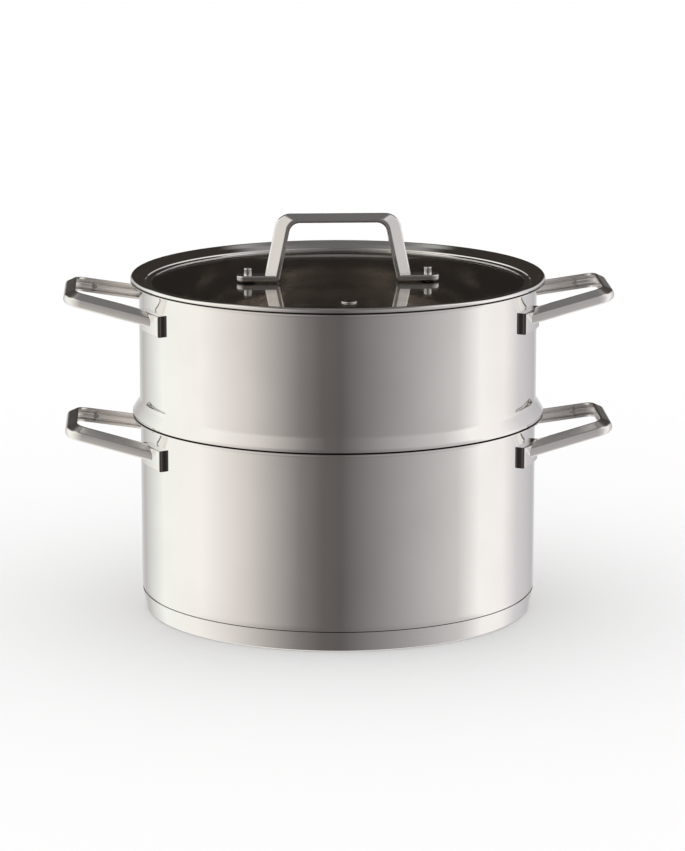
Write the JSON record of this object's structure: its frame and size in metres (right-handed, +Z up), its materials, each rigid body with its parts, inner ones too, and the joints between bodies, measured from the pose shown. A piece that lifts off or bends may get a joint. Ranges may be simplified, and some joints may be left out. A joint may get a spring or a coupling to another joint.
{
  "type": "steamer pot",
  "caption": "Stovetop steamer: a stainless pot with an encapsulated base, a perforated steamer tier that seats in its mouth, and a recessed glass lid with a steel ring and bow handle.",
  "frame": {"origin": "middle of the underside of the base, on the surface that the pot stands on", "axes": "+X towards the right side handles, +Y away from the viewer of the picture, +Z up along the pot's axis"},
  "size_m": [0.3612, 0.274, 0.2637],
  "materials": {
    "polished_steel": "mirror polished",
    "satin_steel": "satin",
    "aluminium": "plain, sealed in the base",
    "tempered_glass": "clear, tempered",
    "silicone": "matt, dark grey"
  },
  "bodies": {
    "pot": {"pot_shell": "polished_steel", "pot_base_core": "aluminium", "pot_base_cap": "satin_steel", "pot_handle_left": "polished_steel", "pot_handle_right": "polished_steel", "pot_bracket_left_front": "polished_steel", "pot_bracket_left_rear": "polished_steel", "pot_bracket_right_front": "polished_steel", "pot_bracket_right_rear": "polished_steel"},
    "steamer": {"steamer_shell": "polished_steel", "steamer_handle_left": "polished_steel", "steamer_handle_right": "polished_steel", "steamer_bracket_left_front": "polished_steel", "steamer_bracket_left_rear": "polished_steel", "steamer_bracket_right_front": "polished_steel", "steamer_bracket_right_rear": "polished_steel"},
    "lid": {"lid_glass": "tempered_glass", "lid_ring": "polished_steel", "lid_handle": "polished_steel", "lid_bolt_left": "polished_steel", "lid_bolt_right": "polished_steel", "lid_upper_gasket_left": "silicone", "lid_upper_gasket_right": "silicone", "lid_lower_gasket_left": "silicone", "lid_lower_gasket_right": "silicone", "lid_washer_left": "polished_steel", "lid_washer_right": "polished_steel", "lid_nut_left": "polished_steel", "lid_nut_right": "polished_steel", "vent_eyelet": "polished_steel"}
  },
  "joints": [
    {"name": "steamer_lift", "type": "slide", "parent": "pot", "child": "steamer", "axis": [0, 0, 1], "range_m": [0, 0.15]},
    {"name": "lid_lift", "type": "slide", "parent": "steamer", "child": "lid", "axis": [0, 0, 1], "range_m": [0, 0.12]}
  ]
}
